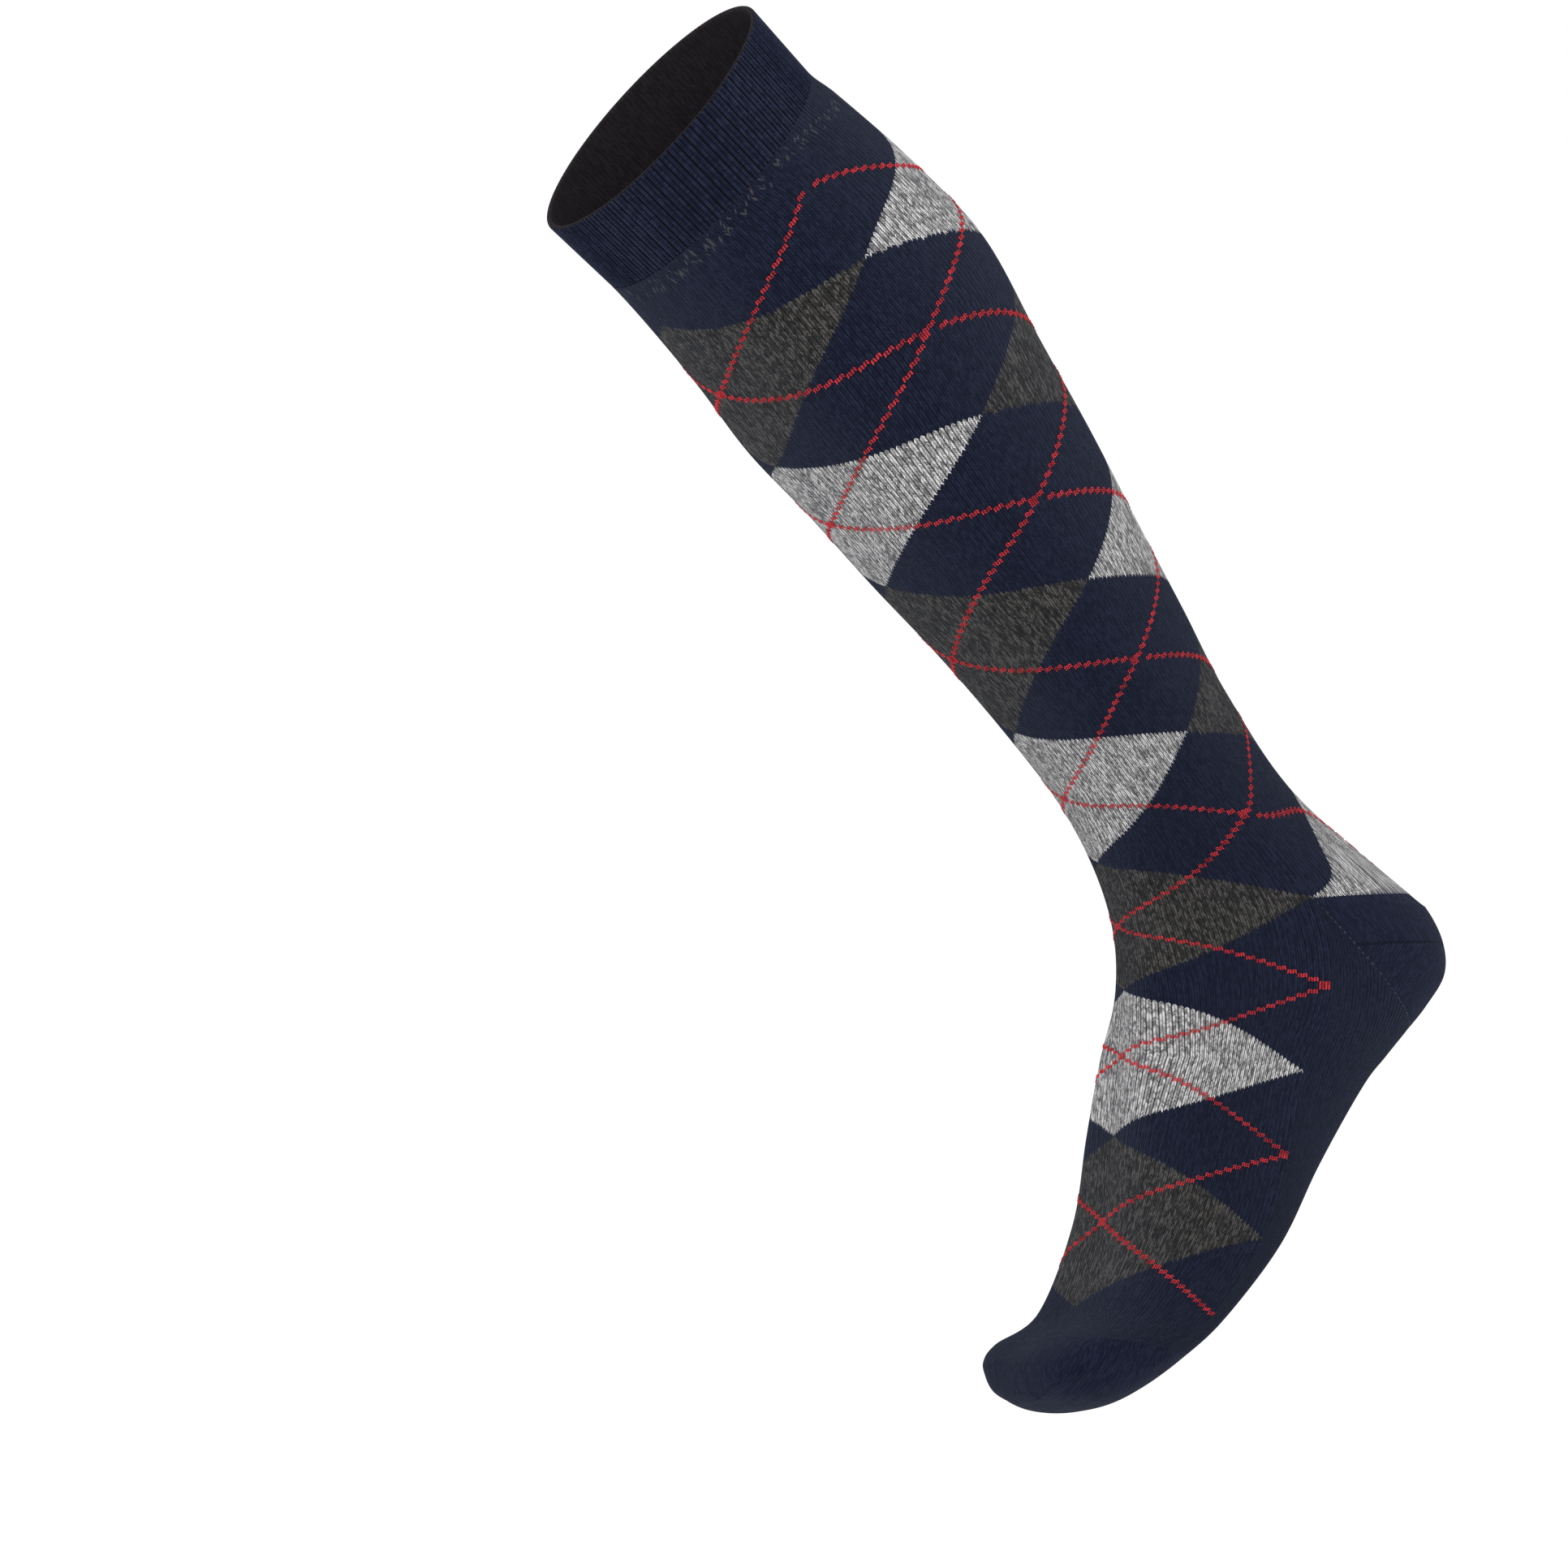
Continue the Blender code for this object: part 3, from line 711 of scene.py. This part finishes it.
# %% [markdown]
# ## Materials
# All finishes here are yarn, and the knitted ones share two node groups. The first reads the wale and the
# course and works out where in its stitch a point lies: which stitch, how high its strand is there, and a
# random number for that strand. The second mixes fibres of three shades, as heathered yarn does. What comes
# out of a group feeds only colour and height.

# %% Node helpers


def feed(tree, value, socket):
    """Sets a socket from another node's output or from a plain value."""
    if isinstance(value, bpy.types.NodeSocket):
        tree.links.new(value, socket)
    else:
        socket.default_value = value


def add(tree, kind, *values, **settings):
    """Adds a node, sets it, feeds its inputs in order and returns its first output."""
    node = tree.nodes.new(kind)
    for name, value in settings.items():
        setattr(node, name, value)
    for value, socket in zip(values, node.inputs):
        if value is not None:
            feed(tree, value, socket)
    return node.outputs[0]


def calc(tree, operation, *values):
    return add(tree, "ShaderNodeMath", *values, operation=operation)


def mix(tree, factor, first, second, blend="MIX"):
    """A colour mix. The colour sockets of the Mix node are its seventh and eighth."""
    node = tree.nodes.new("ShaderNodeMix")
    node.data_type = "RGBA"
    node.blend_type = blend
    for value, socket in zip((factor, first, second), (node.inputs[0], node.inputs[6], node.inputs[7])):
        feed(tree, value, socket)
    return node.outputs[2]


def new_group(name, inputs, outputs):
    """An empty node group with named sockets, and its two end nodes."""
    group = bpy.data.node_groups.new(name, "ShaderNodeTree")
    for label, kind in inputs:
        group.interface.new_socket(label, in_out="INPUT", socket_type=kind)
    for label, kind in outputs:
        group.interface.new_socket(label, in_out="OUTPUT", socket_type=kind)
    return group, group.nodes.new("NodeGroupInput"), group.nodes.new("NodeGroupOutput")


def place_group(tree, group, **values):
    """Places a group in a material, feeds its named inputs and returns the node."""
    node = tree.nodes.new("ShaderNodeGroup")
    node.node_tree = group
    for name, value in values.items():
        feed(tree, value, node.inputs[name.replace("_", " ")])
    return node


FLOAT, VECTOR, COLOUR = "NodeSocketFloat", "NodeSocketVector", "NodeSocketColor"

# %% [markdown]
# A stitch of plain knit is two slanting strands that meet in a V. Between them and at their ends the height
# falls to a groove. The shade of a strand comes from two random numbers: one of its own, and one that it
# shares with a short run of strands above and below it, as the same stretch of yarn does.

# %% Stitch group
stitch_group, start, end = new_group(
    "stitches",
    [("Knit", VECTOR), ("Rise", FLOAT)],
    [("Wale", FLOAT), ("Course", FLOAT), ("Height", FLOAT), ("Fleck", FLOAT)],
)
g = stitch_group
split = g.nodes.new("ShaderNodeSeparateXYZ")
g.links.new(start.outputs["Knit"], split.inputs[0])
from_middle = calc(g, "ABSOLUTE", calc(g, "SUBTRACT", calc(g, "FRACT", split.outputs[0]), 0.5))
up_strand = calc(g, "SUBTRACT", calc(g, "MULTIPLY", from_middle, 2.0), 0.5)
climb = calc(g, "MULTIPLY", up_strand, start.outputs["Rise"])
slanted = calc(g, "SUBTRACT", split.outputs[1], climb)
course_index = calc(g, "FLOOR", slanted)
across_strand = calc(g, "MULTIPLY", calc(g, "SUBTRACT", from_middle, 0.25), 4.0)
side_gap = calc(g, "MULTIPLY_ADD", from_middle, 1.1, 0.45)
falls_off = calc(g, "MULTIPLY", calc(g, "MULTIPLY", across_strand, across_strand), side_gap)
strand_round = calc(g, "SUBTRACT", 1.0, falls_off)
along_strand = calc(g, "SUBTRACT", calc(g, "MULTIPLY", calc(g, "FRACT", slanted), 2.0), 1.0)
along_round = calc(g, "SUBTRACT", 1.0, calc(g, "MULTIPLY", along_strand, along_strand))
height = calc(g, "MULTIPLY", strand_round, calc(g, "MULTIPLY_ADD", along_round, 0.45, 0.55))
half_wale = calc(g, "FLOOR", calc(g, "MULTIPLY", split.outputs[0], 2.0))
cell = add(g, "ShaderNodeCombineXYZ", half_wale, course_index)
run = calc(g, "FLOOR", calc(g, "MULTIPLY_ADD", half_wale, 0.37, calc(g, "MULTIPLY", slanted, 0.36)))
noises = []
for place in (cell, add(g, "ShaderNodeCombineXYZ", half_wale, run)):
    noise = g.nodes.new("ShaderNodeTexWhiteNoise")
    noise.noise_dimensions = "2D"
    g.links.new(place, noise.inputs[0])
    noises.append(noise.outputs["Value"])
fleck = calc(g, "MULTIPLY_ADD", noises[0], 0.45, calc(g, "MULTIPLY", noises[1], 0.55))
g.links.new(calc(g, "ADD", calc(g, "FLOOR", split.outputs[0]), 0.5), end.inputs["Wale"])
g.links.new(calc(g, "ADD", course_index, 0.5), end.inputs["Course"])
g.links.new(height, end.inputs["Height"])
g.links.new(fleck, end.inputs["Fleck"])
print(stitch_group.name, "has", len(g.nodes), "nodes")

# %% [markdown]
# Heather mixes a dark, a body and a light shade. Fine fibres, the strand's own number and a slow cloud over
# the whole sock are added up, and the lowest sums turn dark and the highest light.

# %% Heather group
heather_group, start, end = new_group(
    "heather",
    [("Position", VECTOR), ("Fleck", FLOAT), ("Dark", COLOUR), ("Body", COLOUR), ("Light", COLOUR)],
    [("Colour", COLOUR)],
)
g = heather_group
fibres = add(g, "ShaderNodeTexNoise", start.outputs["Position"], None, 2600.0, 2.0, 0.6)
cloud = add(g, "ShaderNodeTexNoise", start.outputs["Position"], None, 90.0, 2.0, 0.5)
shade = calc(g, "MULTIPLY_ADD", start.outputs["Fleck"], 1.0, calc(g, "MULTIPLY", fibres, 0.60))
shade = calc(g, "ADD", shade, calc(g, "MULTIPLY_ADD", cloud, 0.10, -0.35))
darker = add(g, "ShaderNodeMapRange", shade, 0.22, 0.44, 1.0, 0.0)
lighter = add(g, "ShaderNodeMapRange", shade, 0.52, 0.74, 0.0, 1.0)
colour = mix(g, darker, start.outputs["Body"], start.outputs["Dark"])
g.links.new(mix(g, lighter, colour, start.outputs["Light"]), end.inputs["Colour"])
print(heather_group.name, "has", len(g.nodes), "nodes")

# %% [markdown]
# ## The diamonds
# The argyle is worked out, not drawn. Going round, s counts from 0 at the front to 1 at the back on both
# sides, and t counts rows of the pattern down the leg. The sum and the difference of t and s rise across
# the two families of slanting edges, so rounding them gives the number of the diamond. Even diamonds are
# grey, light and dark in turn, and odd ones are navy, and a stitch takes the colour of its own middle,
# which gives the toothed edges.

# %% Argyle group
argyle_group, start, end = new_group(
    "argyle",
    [("Wale", FLOAT), ("Course", FLOAT)],
    [("Light Grey", FLOAT), ("Dark Grey", FLOAT)],
)
g = argyle_group
round_share = calc(g, "DIVIDE", start.outputs["Wale"], float(HALF_WALES))
s = calc(g, "SUBTRACT", 1.0, calc(g, "ABSOLUTE", calc(g, "SUBTRACT", 1.0, round_share)))
t = calc(g, "DIVIDE", start.outputs["Course"], float(COURSES_PER_ROW))
P = calc(g, "FLOOR", calc(g, "ADD", calc(g, "ADD", t, s), 0.5))
Q = calc(g, "FLOOR", calc(g, "ADD", calc(g, "SUBTRACT", t, s), 0.5))
odd = calc(g, "FLOORED_MODULO", calc(g, "ADD", P, Q), 2.0)
grey = calc(g, "SUBTRACT", 1.0, odd)
started = calc(g, "GREATER_THAN", t, FIRST_ROW_AT)
on_leg = calc(g, "LESS_THAN", t, ANKLE_AT)
on_instep = calc(g, "MULTIPLY", calc(g, "LESS_THAN", s, 0.5), calc(g, "LESS_THAN", t, PATTERN_END_AT))
patterned = calc(g, "MULTIPLY", started, calc(g, "MAXIMUM", on_leg, on_instep))
grey = calc(g, "MULTIPLY", grey, patterned)
P_odd = calc(g, "FLOORED_MODULO", P, 2.0)
g.links.new(calc(g, "MULTIPLY", grey, P_odd), end.inputs["Dark Grey"])
g.links.new(calc(g, "MULTIPLY", grey, calc(g, "SUBTRACT", 1.0, P_odd)), end.inputs["Light Grey"])
print(argyle_group.name, "has", len(g.nodes), "nodes")

# %% [markdown]
# Every yarn is a rough shader, most with a little sheen. The stitch heights raise a bump and darken the
# grooves, where little light gets in. A groove number is the brightness left at the bottom of a groove: the
# light grey is the deepest, because its grooves are the clearest to see. The heel has a thin dark gore
# line, and the cuff counts one rib for each wale.

# %% Yarn materials


def tones(dark, body, light):
    """The three shades of a heather."""
    return dict(Dark=(*dark, 1), Body=(*body, 1), Light=(*light, 1))


NAVY = tones((0.0072, 0.0092, 0.0235), (0.0098, 0.0127, 0.0305), (0.0150, 0.0200, 0.0450))
DARK_GREY = tones((0.021, 0.020, 0.020), (0.040, 0.038, 0.036), (0.098, 0.094, 0.087))
LIGHT_GREY = tones((0.17, 0.165, 0.17), (0.41, 0.405, 0.405), (0.77, 0.765, 0.765))
# The inside shades are near-black: painted shade for the dark inside of the sock, laid on the inner faces of
# every piece
INSIDE_PAINTED_SHADE = tones((0.016, 0.013, 0.016), (0.0200, 0.0165, 0.0200), (0.024, 0.021, 0.024))
SPECKLE, GORE = (0.050, 0.050, 0.056, 1), (0.003, 0.004, 0.010, 1)
RED_DARK, RED_LIGHT = (0.20, 0.010, 0.014, 1), (0.68, 0.040, 0.052, 1)
SHEEN_TINT, RED_SHEEN_TINT = (0.60, 0.70, 0.95, 1.0), (1.0, 0.6, 0.6, 1.0)
BAND_START, BAND_END = 24.0, 30.0  # courses with pale specks, just under the cuff
SPECKLED_ABOVE = 0.74  # the strands whose random number is higher are pale


def yarn_shader(name, sheen, roughness):
    """A material with its shader set for yarn, its tree and the position on the object."""
    material = bpy.data.materials.new(name)
    material.use_nodes = True
    tree = material.node_tree
    shader = tree.nodes["Principled BSDF"]
    shader.inputs["Roughness"].default_value = roughness
    shader.inputs["Specular IOR Level"].default_value = 0.05
    shader.inputs["Sheen Weight"].default_value = sheen
    shader.inputs["Sheen Roughness"].default_value = 0.45
    shader.inputs["Sheen Tint"].default_value = SHEEN_TINT
    position = tree.nodes.new("ShaderNodeTexCoord").outputs["Object"]
    return material, tree, shader, position


def knit_layer(tree, name="knit"):
    node = tree.nodes.new("ShaderNodeUVMap")
    node.uv_map = name
    return node.outputs[0]


def bump(tree, shader, height, strength, distance):
    node = tree.nodes.new("ShaderNodeBump")
    node.inputs["Strength"].default_value = strength
    node.inputs["Distance"].default_value = distance
    tree.links.new(height, node.inputs["Height"])
    tree.links.new(node.outputs[0], shader.inputs["Normal"])


def shaded(tree, colour, strand, floor_shade):
    """Darkens the grooves between strands, where little light gets in."""
    depth = add(tree, "ShaderNodeMapRange", strand, 0.36, 0.80, floor_shade, 1.0)
    return mix(tree, 1.0, colour, add(tree, "ShaderNodeCombineColor", depth, depth, depth), "MULTIPLY")


def heathered(tree, position, stitches, shades):
    fleck = stitches.outputs["Fleck"]
    return place_group(tree, heather_group, Position=position, Fleck=fleck, **shades).outputs[0]


def plain_knit(name, sheen, groove, distance, shades=NAVY):
    material, tree, shader, position = yarn_shader(name, sheen, 0.9)
    stitches = place_group(tree, stitch_group, Knit=knit_layer(tree), Rise=STITCH_RISE)
    heather = heathered(tree, position, stitches, shades)
    colour = shaded(tree, heather, stitches.outputs["Height"], groove)
    bump(tree, shader, stitches.outputs["Height"], 1.0, distance)
    return material, tree, shader, colour, stitches


def argyle_knit():
    """Navy, dark grey and light grey heather by diamond."""
    material, tree, shader, colour, stitches = plain_knit("argyle_yarn", 0.08, 0.30, 0.00055)
    course = stitches.outputs["Course"]
    diamonds = place_group(tree, argyle_group, Wale=stitches.outputs["Wale"], Course=course)
    position = tree.nodes.new("ShaderNodeTexCoord").outputs["Object"]
    for shades, mask, groove in ((DARK_GREY, "Dark Grey", 0.22), (LIGHT_GREY, "Light Grey", 0.06)):
        heather = heathered(tree, position, stitches, shades)
        grey = shaded(tree, heather, stitches.outputs["Height"], groove)
        colour = mix(tree, diamonds.outputs[mask], colour, grey)
    past_start = calc(tree, "GREATER_THAN", course, BAND_START)
    in_band = calc(tree, "MULTIPLY", past_start, calc(tree, "LESS_THAN", course, BAND_END))
    pale = calc(tree, "GREATER_THAN", stitches.outputs["Fleck"], SPECKLED_ABOVE)
    colour = mix(tree, calc(tree, "MULTIPLY", in_band, pale), colour, SPECKLE)
    tree.links.new(colour, shader.inputs["Base Color"])
    return material


def navy_knit():
    material, tree, shader, colour, stitches = plain_knit("navy_yarn", 0.05, 0.40, 0.00040)
    tree.links.new(colour, shader.inputs["Base Color"])
    return material


def heel_knit():
    """Plain navy, darker along the gore, which fades out at the middle of the heel."""
    material, tree, shader, colour, stitches = plain_knit("heel_yarn", 0.05, 0.40, 0.00040)
    split = tree.nodes.new("ShaderNodeSeparateXYZ")
    tree.links.new(knit_layer(tree, "gore"), split.inputs[0])
    from_gore = calc(tree, "ABSOLUTE", split.outputs[0])
    line = add(tree, "ShaderNodeMapRange", from_gore, 0.0002, 0.0009, 0.75, 0.0)
    at_side = add(tree, "ShaderNodeMapRange", split.outputs[1], 0.008, 0.014, 0.0, 1.0)
    line = calc(tree, "MULTIPLY", line, at_side)
    tree.links.new(mix(tree, line, colour, GORE), shader.inputs["Base Color"])
    return material


def rib_knit():
    """One rib for each wale, with a column of small holes beside it, darkened with painted shade."""
    material, tree, shader, position = yarn_shader("rib_yarn", 0.09, 0.9)
    ribs = add(tree, "ShaderNodeVectorMath", knit_layer(tree), (0.5, 1.0, 1.0), operation="MULTIPLY")
    stitches = place_group(tree, stitch_group, Knit=ribs, Rise=0.3)
    colour = shaded(tree, heathered(tree, position, stitches, NAVY), stitches.outputs["Height"], 0.08)
    bump(tree, shader, stitches.outputs["Height"], 1.0, 0.00060)
    tree.links.new(colour, shader.inputs["Base Color"])
    return material


# The inside yarn is painted shade: near-black, so that the inside of the sock reads dark
def inside_painted_shade_knit():
    material, tree, shader, colour, stitches = plain_knit("inside_painted_shade_yarn", 0.0, 0.7, 0.0002, INSIDE_PAINTED_SHADE)
    tree.links.new(colour, shader.inputs["Base Color"])
    return material


def red_yarn():
    material, tree, shader, position = yarn_shader("red_yarn", 0.15, 0.85)
    shader.inputs["Sheen Tint"].default_value = RED_SHEEN_TINT
    fibres = add(tree, "ShaderNodeTexNoise", position, None, 2200.0, 2.0, 0.6)
    mottle = add(tree, "ShaderNodeTexNoise", position, None, 350.0, 1.0, 0.5)
    shade = calc(tree, "MULTIPLY_ADD", fibres, 0.6, calc(tree, "MULTIPLY", mottle, 0.6))
    factor = add(tree, "ShaderNodeMapRange", shade, 0.42, 0.72, 0.0, 1.0)
    tree.links.new(mix(tree, factor, RED_DARK, RED_LIGHT), shader.inputs["Base Color"])
    bump(tree, shader, fibres, 0.5, 0.0002)
    return material


argyle = argyle_knit()
navy = navy_knit()
rib = rib_knit()
heel_navy = heel_knit()
inside = inside_painted_shade_knit()
red = red_yarn()
print("yarns:", [material.name for material in (argyle, navy, rib, heel_navy, inside, red)])

# %% [markdown]
# ## The pieces
# Each knit piece takes the place of one solid and rides on the sock's only body. The red lines replace
# nothing: they are laid on the leg and the foot.

# %% Put the pieces in place
# The second material of each knit piece, on its inner faces, is the near-black painted shade of the inside
leg = new_piece("leg_knit", leg_mesh, (argyle, inside))
foot = new_piece("foot_knit", foot_mesh, (argyle, inside))
heel = new_piece("heel_knit", heel_mesh, (heel_navy, inside))
toe = new_piece("toe_knit", toe_mesh, (navy, inside))
cuff = new_piece("cuff_knit", cuff_mesh, (rib, inside))
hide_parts("leg")
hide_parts("foot")
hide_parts("heel")
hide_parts("toe")
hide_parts("cuff")

ankle_course, last_course = (int(row * COURSES_PER_ROW) for row in (ANKLE_AT, PATTERN_END_AT))
LEG_LINES = (COURSES_PER_ROW // 2, ankle_course, HALF_WALES)
FOOT_LINES = (ankle_course, last_course, HALF_WALES // 2)
leg_lines = strands("leg_lines", overlay_stitches(*LEG_LINES), leg_grid, leg_normals, leg_courses)
foot_lines = strands("foot_lines", overlay_stitches(*FOOT_LINES), foot_grid, foot_normals, foot_courses)
new_piece("leg_overlay", leg_lines, (red,))
new_piece("foot_overlay", foot_lines, (red,))

# %% [markdown]
# ## Studio
# The sock hangs well above a wide white floor in soft, even light, so that hardly any shadow shows. The
# camera has a long lens, stands low at the front corner, and is rolled so that the leg leans to the upper
# left.

# %% Floor, lights and camera
FLOOR_Z, FLOOR_REACH = -0.80, 30.0
floor_mesh = bpy.data.meshes.new("floor")
floor_corners = [(x * FLOOR_REACH, y * FLOOR_REACH, FLOOR_Z) for x, y in ((-1, -1), (1, -1), (1, 1), (-1, 1))]
floor_mesh.from_pydata(floor_corners, [], [(0, 1, 2, 3)])
floor = bpy.data.objects.new("floor", floor_mesh)
scene.collection.objects.link(floor)
floor_paint = bpy.data.materials.new("floor_paint")
floor_paint.use_nodes = True
floor_paint.node_tree.nodes["Principled BSDF"].inputs["Base Color"].default_value = (0.98, 0.98, 0.98, 1)
floor_paint.node_tree.nodes["Principled BSDF"].inputs["Roughness"].default_value = 1.0
floor_mesh.materials.append(floor_paint)

world = bpy.data.worlds.new("studio")
world.use_nodes = True
world.node_tree.nodes["Background"].inputs["Color"].default_value = (1, 1, 1, 1)
world.node_tree.nodes["Background"].inputs["Strength"].default_value = 1.02
scene.world = world

AZIMUTH, ELEVATION, ROLL = math.radians(-22), math.radians(11), math.radians(38)
DISTANCE = 12.0
VIEW_WIDTH = 0.5854
right = Vector((math.cos(AZIMUTH), math.sin(AZIMUTH), 0))
level = math.cos(ELEVATION)
back = Vector((math.sin(AZIMUTH) * level, -math.cos(AZIMUTH) * level, math.sin(ELEVATION)))
up = back.cross(right)
aim = right * -0.11385 + up * -0.2272
rolled_right = right * math.cos(ROLL) - up * math.sin(ROLL)
rolled_up = right * math.sin(ROLL) + up * math.cos(ROLL)
camera_data = bpy.data.cameras.new("camera")
camera_data.sensor_width = 36.0
camera_data.lens = camera_data.sensor_width * DISTANCE / VIEW_WIDTH
camera = bpy.data.objects.new("camera", camera_data)
scene.collection.objects.link(camera)
camera.matrix_world = Matrix.Translation(aim + back * DISTANCE) @ Matrix(
    (rolled_right, rolled_up, back)
).transposed().to_4x4()
scene.camera = camera


def softbox(name, place, target, size, power):
    data = bpy.data.lights.new(name, "AREA")
    data.size = size
    data.energy = power
    light = bpy.data.objects.new(name, data)
    scene.collection.objects.link(light)
    light.location = place
    light.rotation_euler = (Vector(target) - Vector(place)).to_track_quat("-Z", "Y").to_euler()


softbox("key", (-0.9, -1.6, 1.0), (-0.05, 0, -0.25), 1.4, 14)
softbox("fill", (1.6, -1.2, 0.3), (-0.05, 0, -0.25), 1.4, 7)
scene.view_settings.view_transform = "Standard"
print(f"the camera is {DISTANCE:.0f} m away, with a lens of {camera_data.lens:.0f} mm")
